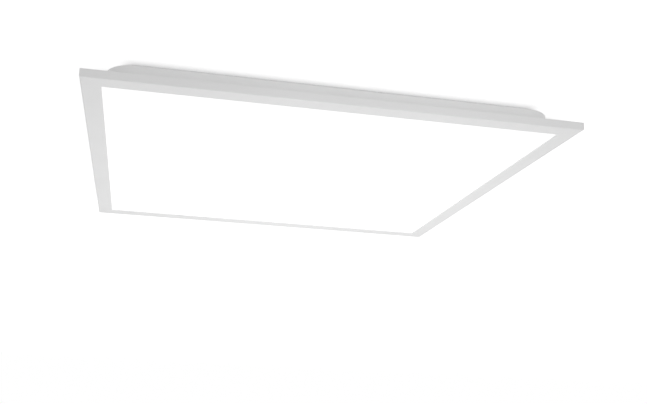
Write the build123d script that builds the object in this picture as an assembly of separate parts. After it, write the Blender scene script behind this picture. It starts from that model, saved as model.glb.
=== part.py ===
from build123d import *
import os

# Square surface-mounted LED ceiling panel, in millimetres, +Z up.  The origin is the middle of the
# ceiling face of the bracket, so everything hangs at negative z.  Near is -Y, left is -X.

# ---------------------------------------------------------------- driving sizes
# frame extrusion (white powder-coated aluminium, four mitred lengths)
panel_side = 595.0            # outside of the square frame
bezel_width = 23.2            # underside of the frame, from its outer edge to the open window
lip_thickness = 1.4           # lower flange that carries the sheets
outer_wall = 1.4              # upright outer wall
channel_width = 13.0          # outer edge to the inner face of the inner upright web
web_thickness = 1.2           # inner upright web, which carries the light strips
ledge_thickness = 1.2         # upper wall of the closed channel, which carries the back plate
frame_edge_radius = 1.8       # long lower outside edge
lip_edge_radius = 0.5         # long lower edge beside the diffuser

# the sheets, from the lip upwards
diffuser_thickness = 2.0
guide_thickness = 3.0
reflector_thickness = 0.3
foam_thickness = 2.7
plate_thickness = 0.6
sheet_gap = 0.3               # round the edge of each sheet

# light strips
board_thickness = 1.0
board_height = 5.0
board_end_gap = 14.5          # end of each board to the neighbouring web
led_length = 3.0
led_width = 1.4
led_depth = 0.8
led_pitch = 12.0
led_end_margin = 9.0          # least length of board left past the last package
guide_gap = 0.3               # light guide's edge to the emitting faces
bumper_width = 5.0
pitches_per_bumper = 15       # one rubber bumper every so many pitches of the packages

# back plate
plate_corner_radius = 3.0
bead_end_gap = 40.7           # housing's foot flange to the end of each bead
bead_width = 14.0
bead_height = 1.2
bead_slope_degrees = 30
inner_bead_row = 75.0         # y of the two inner beads
outer_bead_gap = 65.7         # housing's foot flange to the middle of the two outer beads

# rear housing (pressed steel wall with a foot flange and a ceiling rim)
housing_inset = 24.0          # frame's outer edge to the outside of the wall
housing_corner_radius = 33.0
housing_height = 21.0         # back plate to ceiling
housing_thickness = 0.8
housing_bend_radius = 1.6
foot_width = 12.0
rim_width = 5.0

# ceiling bracket (pressed steel tray in the shape of an H)
bracket_thickness = 1.2
bracket_depth = 7.0
bracket_corner_radius = 3.0
bracket_waist_radius = 10.0
rail_spacing = 240.0          # between the middles of the two rails
rail_width = 36.0
spine_width = 90.0
lug_gap = 0.3                 # lug to the inside of the housing wall
lug_drop = 15.0               # ceiling to the lower end of a lug
lug_corner_radius = 4.0
rim_notch_gap = 2.0           # each side of a lug, in the ceiling rim
ceiling_slot_spacing = 300.0  # along the rails
ceiling_slot_length = 20.0
ceiling_slot_width = 5.5
dish_depth = 3.2
dish_radius = 26.0
dish_slope = 3.2
cable_hole_radius = 15.0

# cable grommet in the bracket
grommet_flange = 1.5
grommet_flange_width = 4.0
grommet_bore_radius = 6.0

# screws: shank radius, head radius, head height
side_screw_size = (2.0, 3.8, 2.4)
side_screw_drop = 10.0        # ceiling to the screw's axis
side_screw_head_gap = 0.15
side_screw_slot_gap = 0.3
side_screw_tip = 1.0
nut_flat_to_flat = 7.0
nut_height = 3.2
sheet_screw_size = (1.4, 2.8, 1.8)
driver_screw_size = (1.75, 3.4, 2.2)
corner_screw_size = (1.25, 2.4, 1.2)
screw_tip = 1.3               # how far a sheet screw stands out of the last sheet
thread_gap = 0.05             # round a shank in its tapped hole
pass_gap = 0.2                # round a shank in a plain hole
relief_gap = 1.2              # round a screw tip in the foam
plate_screw_spacing = 200.0
plate_screws_per_side = 3
housing_screw_spacing = 300.0
housing_screws_per_side = 2

# corner keys inside the frame
key_leg = 38.0
key_gap = 0.1
key_chamfer = 2.0
corner_screw_reach = 22.0     # panel corner to each screw, along the side

# lead grommets in the back plate
lead_hole_radius = 4.0
lead_bore_radius = 2.2
lead_flange_width = 2.0
lead_flange = 1.0
lead_foot_gap = 3.0           # flange to the housing's foot flange
lead_row = 60.0               # y of both grommets
lead_channel_width = 8.0

# driver with its wiring compartment
driver_spine_gap = 11.0       # bracket's spine to the compartment's outer end
compartment_length = 56.0
hinge_space = 6.0             # between the compartment and the covered part
driver_foot_gap = 2.7         # last ear to the housing's foot flange
driver_width = 46.0
driver_height = 16.5
driver_base_height = 8.0      # parting line of the covered part
driver_wall = 2.0
driver_corner_radius = 3.0
driver_cover_radius = 1.0
ear_reach = 12.0
ear_width = 20.0
ear_thickness = 2.5
standoff_radius = 2.5
standoff_height = 2.0
circuit_board_thickness = 1.6
circuit_board_gap = 0.5
capacitor_radius = 5.0
capacitor_height = 7.5
capacitor_pitch = 13.0
transformer_length = 24.0
transformer_width = 20.0
transformer_height = 8.0
winding_length = 12.0
winding_height = 6.4
winding_bulge = 2.5
cable_inlet_width = 10.0
cable_inlet_depth = 8.5

# hinged cover of the wiring compartment
lid_thickness = 2.0
lid_rib_thickness = 1.2
lid_rib_depth = 1.5
lid_rib_gap = 0.3
lid_lip = 2.0
lid_lip_width = 16.0
knuckle_radius = 2.2
knuckle_length = 6.0
knuckle_gap = 0.3
hinge_pin_radius = 1.2
hinge_running_gap = 0.1
hinge_fixed_gap = 0.03
hinge_wall_gap = 0.2

# push-in terminal block
terminal_setback = 20.0       # compartment's outer end to the block's face
terminal_length = 24.0
terminal_height = 9.5
pole_pitch = 10.0
poles = 3
pole_rib = 1.0
wire_hole_radius = 1.6
wire_hole_height = 3.2        # compartment's floor to the hole's axis
wire_hole_depth = 9.0
wire_funnel = 0.8
button_length = 4.6
button_width = 5.0
button_height = 5.0
button_stand = 1.2            # above the block's top
button_travel = 1.0
button_gap = 0.2
button_setback = 18.0         # block's face to the middle of the buttons

# earth stud on the back plate
earth_place = (50.0, -36.0)
earth_stud_radius = 2.0
earth_stud_height = 9.0
earth_washer_radius = 5.0
earth_washer_thickness = 1.0
earth_nut_height = 3.2

# ---------------------------------------------------------------- places that follow from them
half = panel_side / 2
sheets = diffuser_thickness + guide_thickness + reflector_thickness + foam_thickness
frame_height = lip_thickness + sheets + plate_thickness
ledge_height = frame_height - plate_thickness
plate_top = -housing_height
plate_underside = plate_top - plate_thickness
frame_bottom = plate_top - frame_height
lip_top = frame_bottom + lip_thickness
diffuser_top = lip_top + diffuser_thickness
guide_top = diffuser_top + guide_thickness
reflector_top = guide_top + reflector_thickness

web_face = half - channel_width                        # inner face of the frame's web
channel_inner_width = channel_width - web_thickness - outer_wall
channel_middle = half - outer_wall - channel_inner_width / 2
sheet_half = web_face - sheet_gap
board_length = 2 * (web_face - board_end_gap)
leds_per_board = 2 * int((board_length / 2 - led_end_margin) / led_pitch + 0.5)
led_face = web_face - board_thickness - led_depth
guide_half = led_face - guide_gap
plate_half = half - outer_wall - sheet_gap

housing_half = half - housing_inset                    # outside of the housing wall
housing_inner = housing_half - housing_thickness
housing_screw_line = housing_inner - foot_width / 2
foot_edge = housing_inner - foot_width                 # inner edge of the foot flange
bead_length = 2 * (foot_edge - bead_end_gap)
outer_bead_row = foot_edge - outer_bead_gap
lug_face = housing_inner - lug_gap
rail_middle = rail_spacing / 2

driver_start = spine_width / 2 + driver_spine_gap
driver_end = foot_edge - driver_foot_gap - ear_reach
driver_floor = plate_top + driver_wall
compartment_end = driver_start + compartment_length
electronics_start = compartment_end + hinge_space
lid_underside = plate_top + driver_height - lid_thickness
hinge_x = compartment_end + hinge_wall_gap + knuckle_radius
hinge_z = lid_underside + lid_thickness - knuckle_radius
terminal_start = driver_start + terminal_setback
terminal_top = driver_floor + terminal_height

at_bottom = (Align.CENTER, Align.CENTER, Align.MIN)
at_top = (Align.CENTER, Align.CENTER, Align.MAX)


# ---------------------------------------------------------------- small helpers
def block(low, high):
    """Box between two opposite corners."""
    size = [b - a for a, b in zip(low, high)]
    return Pos(*low) * Box(*size, align=(Align.MIN, Align.MIN, Align.MIN))


def rod(radius, low, high):
    """Upright cylinder on the Z axis between two heights."""
    return Pos(0, 0, low) * Cylinder(radius, high - low, align=at_bottom)


def slab(outline, low, high):
    """A flat outline drawn in XY, as a solid between two heights."""
    return Pos(0, 0, low) * extrude(outline, amount=high - low)


def group(solids):
    """Separate solids kept together as one node."""
    return Compound([shape.solid() for shape in solids])


def pan_screw(size, shank_length):
    """Pan-head screw on the Z axis: bearing face at z = 0, head with a bevelled rim above, shank below."""
    shank_radius, head_radius, head_height = size
    head = Cylinder(head_radius, head_height, align=at_bottom)
    head = chamfer(head.edges().sort_by(Axis.Z)[-1], head_height / 3)
    return head + Cylinder(shank_radius, shank_length, align=at_top)


def countersunk_screw(size, shank_length, extra=0.0):
    """Countersunk screw with its flat top at z = 0; extra makes it fatter all round, to cut its hole."""
    shank_radius, head_radius, head_height = size
    head = Cone(shank_radius + extra, head_radius + extra, head_height, align=at_top)
    return head + Cylinder(shank_radius + extra, shank_length, align=at_top)


def nut_outline():
    """Hexagon of the nuts, by its distance across the flats."""
    return RegularPolygon(nut_flat_to_flat / 2, 6, major_radius=False)


def along_sides(distance, spacing, count):
    """Plan places in a row along each of the four sides, at one distance from the middle."""
    row = [(i - (count - 1) / 2) * spacing for i in range(count)]
    near = [Vector(s, -distance) for s in row]
    return [place.rotate(Axis.Z, turn) for turn in (0, 90, 180, 270) for place in near]


def holes(places, radius, low, high):
    """Upright round cutters at plan places."""
    return [Pos(p.X, p.Y, 0) * rod(radius, low, high) for p in places]


plate_screw_places = along_sides(channel_middle, plate_screw_spacing, plate_screws_per_side)
housing_screw_places = along_sides(housing_screw_line, housing_screw_spacing, housing_screws_per_side)
corner_screw_places = along_sides(channel_middle, panel_side - 2 * corner_screw_reach, 2)
driver_screw_places = [
    Vector(driver_start - ear_reach / 2, 0),
    Vector(driver_end + ear_reach / 2, 0),
]
lead_line = foot_edge - lead_foot_gap - lead_hole_radius - lead_flange_width
lead_places = [Vector(side * lead_line, lead_row) for side in (-1, 1)]
rail_ends = [(side, row * rail_middle) for side in (-1, 1) for row in (-1, 1)]


# ---------------------------------------------------------------- frame
def frame_section():
    """Section of the extrusion: x runs in from the outer edge, y up from the underside."""
    outline = make_face(Polyline(
        (0, 0),
        (bezel_width, 0),
        (bezel_width, lip_thickness),
        (channel_width, lip_thickness),
        (channel_width, ledge_height),
        (outer_wall, ledge_height),
        (outer_wall, frame_height),
        (0, frame_height),
        (0, 0),
    ))
    lower = outline.vertices().group_by(Axis.Y)[0].sort_by(Axis.X)
    outline = fillet(lower[0], frame_edge_radius)
    outline = fillet(outline.vertices().group_by(Axis.Y)[0].sort_by(Axis.X)[-1], lip_edge_radius)
    channel_height = ledge_height - ledge_thickness - lip_thickness
    channel = Pos(outer_wall, lip_thickness) * Rectangle(
        channel_inner_width, channel_height, align=(Align.MIN, Align.MIN)
    )
    return outline - channel


def frame_side(turn):
    """One length of the frame, mitred at both ends and bored for its screws, turned to its side."""
    bar = extrude(Plane.YZ * frame_section(), amount=half, both=True)
    bar = Pos(0, -half, frame_bottom) * bar
    wedge = make_face(Polyline((-half, -half), (half, -half), (0, 0), (-half, -half)))
    bar = bar & slab(wedge, frame_bottom, plate_top)
    ledge_top = plate_underside
    tapped = sheet_screw_size[0] + thread_gap
    row = [p for p in plate_screw_places if p.Y < -web_face]
    bar -= holes(row, tapped, ledge_top - ledge_thickness - screw_tip, ledge_top + 1)
    cutter = countersunk_screw(corner_screw_size, ledge_thickness + screw_tip, thread_gap)
    bar -= [Pos(p.X, p.Y, ledge_top) * cutter for p in corner_screw_places if p.Y < -web_face]
    return Rot(0, 0, turn) * bar


def corner_keys():
    """Four L-shaped keys that join the mitres from inside the channels."""
    outer = half - outer_wall - key_gap
    width = channel_inner_width - 2 * key_gap
    bottom = lip_top + key_gap
    top = plate_underside - ledge_thickness - key_gap
    outline = make_face(Polyline(
        (-outer, -outer),
        (key_leg - outer, -outer),
        (key_leg - outer, width - outer),
        (width - outer, width - outer),
        (width - outer, key_leg - outer),
        (-outer, key_leg - outer),
        (-outer, -outer),
    ))
    key = slab(outline, bottom, top)
    tips = key.edges().filter_by(Axis.Z).sort_by(lambda e: e.center().X + e.center().Y)
    key = chamfer([tips[0], *tips[2:]], key_chamfer)
    tapped = corner_screw_size[0] + thread_gap
    row = [p for p in corner_screw_places if p.X < 0 and p.Y < 0]
    key -= holes(row, tapped, bottom - 1, top + 1)
    return group([Rot(0, 0, turn) * key for turn in (0, 90, 180, 270)])


def corner_screws():
    """Countersunk screws, two at each corner, flush in the channel's upper wall."""
    length = plate_underside - lip_top - 2 * key_gap
    screw = countersunk_screw(corner_screw_size, length)
    return group([Pos(p.X, p.Y, plate_underside) * screw for p in corner_screw_places])


# ---------------------------------------------------------------- optical stack
def diffuser():
    """Opal sheet that lies on the lip of the frame."""
    return block((-sheet_half, -sheet_half, lip_top), (sheet_half, sheet_half, diffuser_top))


def light_guide():
    """Clear acrylic sheet lit through its left and right edges."""
    return block((-guide_half, -sheet_half, diffuser_top), (guide_half, sheet_half, guide_top))


def reflector_sheet():
    """Thin white film on the light guide."""
    return block((-guide_half, -sheet_half, guide_top), (guide_half, sheet_half, reflector_top))


def foam_pad():
    """Foam that presses the sheets on to the lip, cut away round screw tips and the lamp leads."""
    pad = block((-guide_half, -sheet_half, reflector_top), (guide_half, sheet_half, plate_underside))
    tips = housing_screw_places + driver_screw_places
    pad -= holes(tips, driver_screw_size[0] + relief_gap, reflector_top - 1, plate_underside + 1)
    flange = lead_hole_radius + lead_flange_width
    pad -= holes(lead_places, flange + pass_gap, reflector_top - 1, plate_underside + 1)
    for place in lead_places:
        edge = guide_half + 1 if place.X > 0 else -guide_half - 1
        low = (min(place.X, edge), place.Y - lead_channel_width / 2, reflector_top - 1)
        high = (max(place.X, edge), place.Y + lead_channel_width / 2, plate_underside + 1)
        pad -= block(low, high)
    return pad


def led_boards():
    """Two long circuit boards, on the webs of the left and right frame sides."""
    board = block(
        (web_face - board_thickness, -board_length / 2, diffuser_top),
        (web_face, board_length / 2, diffuser_top + board_height),
    )
    return group([board, Rot(0, 0, 180) * board])


def led_packages():
    """Rows of small light-emitting packages, level with the middle of the light guide."""
    middle = diffuser_top + guide_thickness / 2
    package = Pos(led_face + led_depth / 2, 0, middle) * Box(led_depth, led_length, led_width)
    row = [(i - (leds_per_board - 1) / 2) * led_pitch for i in range(leds_per_board)]
    return group([Rot(0, 0, turn) * Pos(0, y, 0) * package for turn in (0, 180) for y in row])


def light_guide_bumpers():
    """Rubber pads between the boards and the light guide, each midway between two packages."""
    pad = block(
        (guide_half, -bumper_width / 2, diffuser_top),
        (web_face - board_thickness, bumper_width / 2, guide_top),
    )
    row = [i * pitches_per_bumper * led_pitch for i in (-1, 0, 1)]
    return group([Rot(0, 0, turn) * Pos(0, y, 0) * pad for turn in (0, 180) for y in row])


# ---------------------------------------------------------------- back plate
def stiffening_bead(y):
    """Raised and hollow halves of one pressed bead, as a pair of solids."""
    outside = extrude(SlotOverall(bead_length, bead_width), amount=bead_height, taper=bead_slope_degrees)
    return (
        Pos(0, y, plate_top) * outside,
        Pos(0, y, plate_underside) * outside,
    )


def back_plate():
    """Pressed steel sheet that closes the frame and carries the housing and the driver."""
    sheet = slab(
        RectangleRounded(2 * plate_half, 2 * plate_half, plate_corner_radius), plate_underside, plate_top
    )
    for y in (-outer_bead_row, -inner_bead_row, inner_bead_row, outer_bead_row):
        raised, hollow = stiffening_bead(y)
        sheet = sheet + raised - hollow
    low = plate_underside - 1
    high = plate_top + 1
    sheet -= holes(plate_screw_places, sheet_screw_size[0] + pass_gap, low, high)
    sheet -= holes(housing_screw_places, sheet_screw_size[0] + thread_gap, low, high)
    sheet -= holes(driver_screw_places, driver_screw_size[0] + thread_gap, low, high)
    sheet -= holes(lead_places, lead_hole_radius, low, high)
    return sheet


def back_plate_screws():
    """Pan-head screws through the back plate into the frame's channel."""
    screw = pan_screw(sheet_screw_size, plate_thickness + ledge_thickness + screw_tip)
    return group([Pos(p.X, p.Y, plate_top) * screw for p in plate_screw_places])


def lead_grommets():
    """Two rubber grommets where the lamp leads go through the back plate."""
    neck = rod(lead_hole_radius - thread_gap, plate_underside - lead_flange, plate_top + lead_flange)
    flange_radius = lead_hole_radius + lead_flange_width
    grommet = neck + rod(flange_radius, plate_top, plate_top + lead_flange)
    grommet += rod(flange_radius, plate_underside - lead_flange, plate_underside)
    grommet -= rod(lead_bore_radius, plate_underside - lead_flange - 1, plate_top + lead_flange + 1)
    return group([Pos(p.X, p.Y, 0) * grommet for p in lead_places])


def earth_stud():
    """Threaded stud welded to the back plate."""
    stud = rod(earth_stud_radius, plate_top, plate_top + earth_stud_height)
    stud = chamfer(stud.edges().sort_by(Axis.Z)[-1], earth_stud_radius / 4)
    return Pos(*earth_place, 0) * stud


def earth_nut():
    """Washer and hexagon nut run down the stud on to the back plate."""
    washer_top = plate_top + earth_washer_thickness
    nut = slab(nut_outline(), washer_top, washer_top + earth_nut_height)
    nut += rod(earth_washer_radius, plate_top, washer_top)
    nut -= rod(earth_stud_radius + thread_gap, plate_top - 1, washer_top + earth_nut_height + 1)
    return Pos(*earth_place, 0) * nut


# ---------------------------------------------------------------- rear housing
def rounded_square(half_side, radius):
    """Square outline with rounded corners."""
    return RectangleRounded(2 * half_side, 2 * half_side, radius)


def rear_housing():
    """Pressed wall: foot flange inwards on the back plate, narrow rim inwards at the ceiling."""
    outside = slab(rounded_square(housing_half, housing_corner_radius), plate_top, 0)
    outside = fillet(outside.edges().group_by(Axis.Z)[-1], housing_bend_radius)
    inner_radius = housing_corner_radius - housing_thickness
    inside = slab(
        rounded_square(housing_inner, inner_radius), plate_top + housing_thickness, -housing_thickness
    )
    inside = fillet(inside.edges().group_by(Axis.Z)[-1], housing_bend_radius - housing_thickness)
    floor_cut = slab(
        rounded_square(foot_edge, inner_radius - foot_width), plate_top - 1, plate_top + 2
    )
    rim_cut = slab(rounded_square(housing_inner - rim_width, inner_radius - rim_width), -2, 1)
    wall = outside - inside - floor_cut - rim_cut
    wall -= holes(housing_screw_places, sheet_screw_size[0] + pass_gap, plate_top - 1, plate_top + 2)
    notch_half = rail_width / 2 + rim_notch_gap
    notch_low = -housing_bend_radius
    slot_radius = side_screw_size[0] + side_screw_slot_gap
    for side, y in rail_ends:
        notch = block((0, y - notch_half, notch_low), (housing_inner, y + notch_half, 1))
        wall -= notch if side > 0 else mirror(notch, Plane.YZ)
        reach = 2 * housing_thickness
        slot = Cylinder(slot_radius, 2 * reach, rotation=(0, 90, 0))
        slot += block((-reach, -slot_radius, 0), (reach, slot_radius, side_screw_drop + 1))
        wall -= Pos(side * (housing_half - housing_thickness / 2), y, -side_screw_drop) * slot
    return wall


def housing_screws():
    """Pan-head screws through the foot flange into the back plate."""
    screw = pan_screw(sheet_screw_size, housing_thickness + plate_thickness + screw_tip)
    head_seat = plate_top + housing_thickness
    return group([Pos(p.X, p.Y, head_seat) * screw for p in housing_screw_places])


# ---------------------------------------------------------------- ceiling bracket
def bracket_outline(inset):
    """The H in plan, all its edges moved in by inset."""
    rails = [
        Pos(0, row * rail_middle) * Rectangle(2 * (lug_face - inset), rail_width - 2 * inset)
        for row in (-1, 1)
    ]
    outline = Rectangle(spine_width - 2 * inset, rail_spacing) + rails
    waist = [v for v in outline.vertices() if abs(v.X) < spine_width]
    outline = fillet(waist, bracket_waist_radius + inset)
    tips = [v for v in outline.vertices() if abs(v.X) > lug_face - inset - 0.01]
    return fillet(tips, bracket_corner_radius - inset)


def ceiling_bracket():
    """Pressed tray with slotted rails, a deeper lug at each rail end and a dished cable entry."""
    tray = slab(bracket_outline(0), -bracket_depth, 0)
    tray = fillet(tray.edges().group_by(Axis.Z)[-1], bracket_thickness)
    tray -= slab(bracket_outline(bracket_thickness), -bracket_depth, -bracket_thickness)
    lug_half = rail_width / 2 - bracket_corner_radius
    lug = block(
        (lug_face - bracket_thickness, -lug_half, -lug_drop), (lug_face, lug_half, -bracket_depth)
    )
    lug = fillet(lug.edges().filter_by(Axis.X).group_by(Axis.Z)[0], lug_corner_radius)
    hole = Cylinder(side_screw_size[0] + thread_gap, 4 * bracket_thickness, rotation=(0, 90, 0))
    for side, y in rail_ends:
        tray += Pos(0, y, 0) * (lug if side > 0 else mirror(lug, Plane.YZ))
        tray -= Pos(side * (lug_face - bracket_thickness / 2), y, -side_screw_drop) * hole
        slot = SlotOverall(ceiling_slot_length, ceiling_slot_width)
        tray -= Pos(side * ceiling_slot_spacing / 2, y, 0) * slab(slot, -bracket_depth, 1)
    dish = Cone(dish_radius, dish_radius + dish_slope, dish_depth, align=at_top)
    under = dish_radius + bracket_thickness
    tray += Pos(0, 0, -bracket_thickness) * Cone(under, under + dish_slope, dish_depth, align=at_top)
    return tray - dish - rod(cable_hole_radius, -2 * bracket_depth, 1)


def weld_nuts():
    """Hexagon nuts welded inside the lugs, for the side screws."""
    nut = slab(nut_outline(), 0, nut_height)
    nut -= rod(side_screw_size[0] + thread_gap, -1, nut_height + 1)
    inner_face = lug_face - bracket_thickness
    return group([
        Pos(side * inner_face, y, -side_screw_drop) * Rot(0, -90 * side, 0) * nut
        for side, y in rail_ends
    ])


def side_screws():
    """Pan-head screws from outside, through the open slots of the housing into the lugs."""
    head_seat = housing_half + side_screw_head_gap
    length = head_seat - lug_face + bracket_thickness + nut_height + side_screw_tip
    screw = pan_screw(side_screw_size, length)
    return group([
        Pos(side * head_seat, y, -side_screw_drop) * Rot(0, 90 * side, 0) * screw
        for side, y in rail_ends
    ])


def cable_grommet():
    """Rubber grommet in the dished middle of the bracket, flanged on both faces of the sheet."""
    sheet_top = -dish_depth
    sheet_bottom = sheet_top - bracket_thickness
    flange_radius = cable_hole_radius + grommet_flange_width
    grommet = rod(cable_hole_radius - thread_gap, sheet_bottom - grommet_flange, sheet_top + grommet_flange)
    grommet += rod(flange_radius, sheet_top, sheet_top + grommet_flange)
    grommet += rod(flange_radius, sheet_bottom - grommet_flange, sheet_bottom)
    rims = grommet.edges().filter_by(GeomType.CIRCLE).group_by(Axis.Z)
    outer_rims = [rim.sort_by(SortBy.RADIUS)[-1] for rim in (rims[0], rims[-1])]
    grommet = chamfer(outer_rims, grommet_flange / 3)
    return grommet - rod(grommet_bore_radius, sheet_bottom - 2 * grommet_flange, 0)


# ---------------------------------------------------------------- driver and its wiring compartment
def driver_outline(start, end, inset=0.0):
    """Rounded rectangle in plan between two x positions, its edges moved in by inset."""
    corner = max(driver_corner_radius - inset, driver_corner_radius / 4)
    length = end - start - 2 * inset
    return Pos((start + end) / 2, 0) * RectangleRounded(length, driver_width - 2 * inset, corner)


def hinge_barrel(radius, low, high):
    """Cylinder on the hinge axis between two y positions."""
    return Pos(hinge_x, (low + high) / 2, hinge_z) * Cylinder(radius, high - low, rotation=(90, 0, 0))


def base_knuckle(side):
    """Fixed knuckle at one end of the hinge, on an arm from the compartment's inner wall."""
    inner = side * (driver_width / 2 - knuckle_length)
    outer = side * driver_width / 2
    low, high = sorted((inner, outer))
    arm = block(
        (compartment_end - driver_wall, low, plate_top), (hinge_x + knuckle_radius, high, hinge_z)
    )
    return arm + hinge_barrel(knuckle_radius, low, high)


def driver_base():
    """Moulded tray: tall walls round the wiring compartment, low walls under the cover, two ears."""
    rim = lid_underside
    parting = plate_top + driver_base_height
    tray = slab(driver_outline(driver_start, driver_end), plate_top, driver_floor)
    tray += slab(driver_outline(driver_start, compartment_end), plate_top, rim)
    tray += slab(driver_outline(electronics_start, driver_end), plate_top, parting)
    tray -= slab(driver_outline(driver_start, compartment_end, driver_wall), driver_floor, rim)
    tray -= slab(driver_outline(electronics_start, driver_end, driver_wall), driver_floor, parting)
    ear = RectangleRounded(2 * ear_reach, ear_width, ear_reach / 2)
    for x in (driver_start, driver_end):
        ear_solid = slab(Pos(x, 0) * ear, plate_top, plate_top + ear_thickness)
        inside = driver_outline(driver_start, driver_end, driver_wall)
        tray += ear_solid - slab(inside, driver_floor, plate_top + ear_thickness)
    tray -= holes(driver_screw_places, driver_screw_size[0] + pass_gap, plate_top - 1, driver_floor + 1)
    for side in (-1, 1):
        tray += base_knuckle(side)
    tray -= hinge_barrel(hinge_pin_radius + hinge_fixed_gap, -driver_width, driver_width)
    inlet = RectangleRounded(cable_inlet_width, 2 * cable_inlet_depth, cable_inlet_width / 3)
    inlet = extrude(Plane.YZ * inlet, amount=2 * driver_wall, both=True)
    tray -= Pos(driver_start, 0, rim) * inlet
    for x, y in circuit_board_corners():
        tray += Pos(x, y, 0) * rod(standoff_radius, driver_floor, driver_floor + standoff_height)
    return tray


def circuit_board_edges():
    """Low and high x, and half the width, of the circuit board."""
    margin = driver_wall + circuit_board_gap
    return electronics_start + margin, driver_end - margin, driver_width / 2 - margin


def circuit_board_corners():
    """Places of the four standoffs, under the corners of the circuit board."""
    low, high, half_width = circuit_board_edges()
    reach = 2 * standoff_radius
    return [(x, s * (half_width - reach)) for x in (low + reach, high - reach) for s in (-1, 1)]


def driver_cover():
    """Cap over the electronics, standing on the base's low walls."""
    parting = plate_top + driver_base_height
    top = plate_top + driver_height
    cap = slab(driver_outline(electronics_start, driver_end), parting, top)
    cap = fillet(cap.edges().group_by(Axis.Z)[-1], driver_cover_radius)
    return cap - slab(driver_outline(electronics_start, driver_end, driver_wall), parting, top - driver_wall)


def circuit_board_top():
    """Height of the circuit board's upper face."""
    return driver_floor + standoff_height + circuit_board_thickness


def driver_board():
    """Circuit board of the driver, on the standoffs of the base."""
    low, high, half_width = circuit_board_edges()
    top = circuit_board_top()
    return block((low, -half_width, top - circuit_board_thickness), (high, half_width, top))


def driver_capacitors():
    """Three upright capacitor cans in a row at the far end of the circuit board."""
    high = circuit_board_edges()[1]
    top = circuit_board_top()
    can = rod(capacitor_radius, top, top + capacitor_height)
    x = high - 2 * capacitor_radius
    return group([Pos(x, i * capacitor_pitch, 0) * can for i in (-1, 0, 1)])


def driver_transformer():
    """Ferrite core with its winding bulging out at both sides."""
    low, high = circuit_board_edges()[:2]
    top = circuit_board_top()
    core = Box(transformer_length, transformer_width, transformer_height, align=at_bottom)
    bulged = transformer_width + 2 * winding_bulge
    winding = Box(winding_length, bulged, winding_height, align=at_bottom)
    winding = fillet(winding.edges().filter_by(Axis.Z), winding_bulge)
    return Pos((low + high) / 2, 0, top) * (core + winding)


def driver_screws():
    """Pan-head screws through the ears into the back plate."""
    screw = pan_screw(driver_screw_size, ear_thickness + plate_thickness + screw_tip)
    head_seat = plate_top + ear_thickness
    return group([Pos(p.X, p.Y, head_seat) * screw for p in driver_screw_places])


def wiring_cover():
    """Hinged lid: locating rib inside the walls, finger lip at the free end, one long knuckle."""
    top = lid_underside + lid_thickness
    lid = slab(driver_outline(driver_start, compartment_end), lid_underside, top)
    rib_edge = driver_wall + lid_rib_gap
    rib_outside = driver_outline(driver_start, compartment_end, rib_edge)
    rib_inside = driver_outline(driver_start, compartment_end, rib_edge + lid_rib_thickness)
    rib = slab(rib_outside - rib_inside, lid_underside - lid_rib_depth, lid_underside)
    lip = Pos(driver_start, 0) * RectangleRounded(2 * lid_lip, lid_lip_width, lid_lip / 2)
    lid = lid + rib + slab(lip, lid_underside, top)
    reach = driver_width / 2 - knuckle_length - knuckle_gap
    web = block((compartment_end - driver_corner_radius, -reach, lid_underside), (hinge_x, reach, top))
    room = hinge_x - compartment_end + knuckle_gap
    for side in (-1, 1):
        low, high = sorted((side * reach, side * driver_width))
        lid -= block((compartment_end - room, low, lid_underside - 1), (compartment_end + 1, high, top + 1))
    lid = lid + web + hinge_barrel(knuckle_radius, -reach, reach)
    return lid - hinge_barrel(hinge_pin_radius + hinge_running_gap, -driver_width, driver_width)


def cover_pin():
    """Steel hinge pin, held in the base's two knuckles."""
    return hinge_barrel(hinge_pin_radius, -driver_width / 2, driver_width / 2)


# ---------------------------------------------------------------- push-in terminal block
def pole_rows():
    """y of each pole of the terminal block."""
    return [(i - (poles - 1) / 2) * pole_pitch for i in range(poles)]


def button_place(y):
    """Middle of a button's top face at rest."""
    return Pos(terminal_start + button_setback, y, terminal_top + button_stand)


def terminal_block():
    """Moulded block with a funnel-mouthed wire hole and a button pocket for each pole."""
    width = poles * pole_pitch + 2 * pole_rib
    end = terminal_start + terminal_length
    body = block((terminal_start, -width / 2, driver_floor), (end, width / 2, terminal_top))
    body = fillet(body.edges().filter_by(Axis.Y).group_by(Axis.Z)[-1], pole_rib)
    hole_z = driver_floor + wire_hole_height
    pocket_length = button_length + 2 * button_gap
    pocket_width = button_width + 2 * button_gap
    pocket_depth = button_height - button_stand + button_travel + button_gap
    for y in pole_rows():
        hole = Cylinder(wire_hole_radius, wire_hole_depth, rotation=(0, 90, 0))
        body -= Pos(terminal_start + wire_hole_depth / 2, y, hole_z) * hole
        funnel = Cone(wire_hole_radius + wire_funnel, wire_hole_radius, wire_funnel, align=at_bottom)
        body -= Pos(terminal_start, y, hole_z) * Rot(0, 90, 0) * funnel
        pocket = Box(pocket_length, pocket_width, pocket_depth, align=at_top)
        body -= Pos(terminal_start + button_setback, y, terminal_top) * pocket
    for i in range(poles + 1):
        y = (i - poles / 2) * pole_pitch
        groove = Box(pole_rib, pole_rib, terminal_height, align=at_bottom)
        body -= Pos(terminal_start, y, driver_floor) * groove
    return body


def release_button(y):
    """Square push button, rounded on top, that frees the wire of one pole."""
    button = Box(button_length, button_width, button_height, align=at_top)
    button = fillet(button.edges().group_by(Axis.Z)[-1], button_gap * 2)
    return button_place(y) * button


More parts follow.
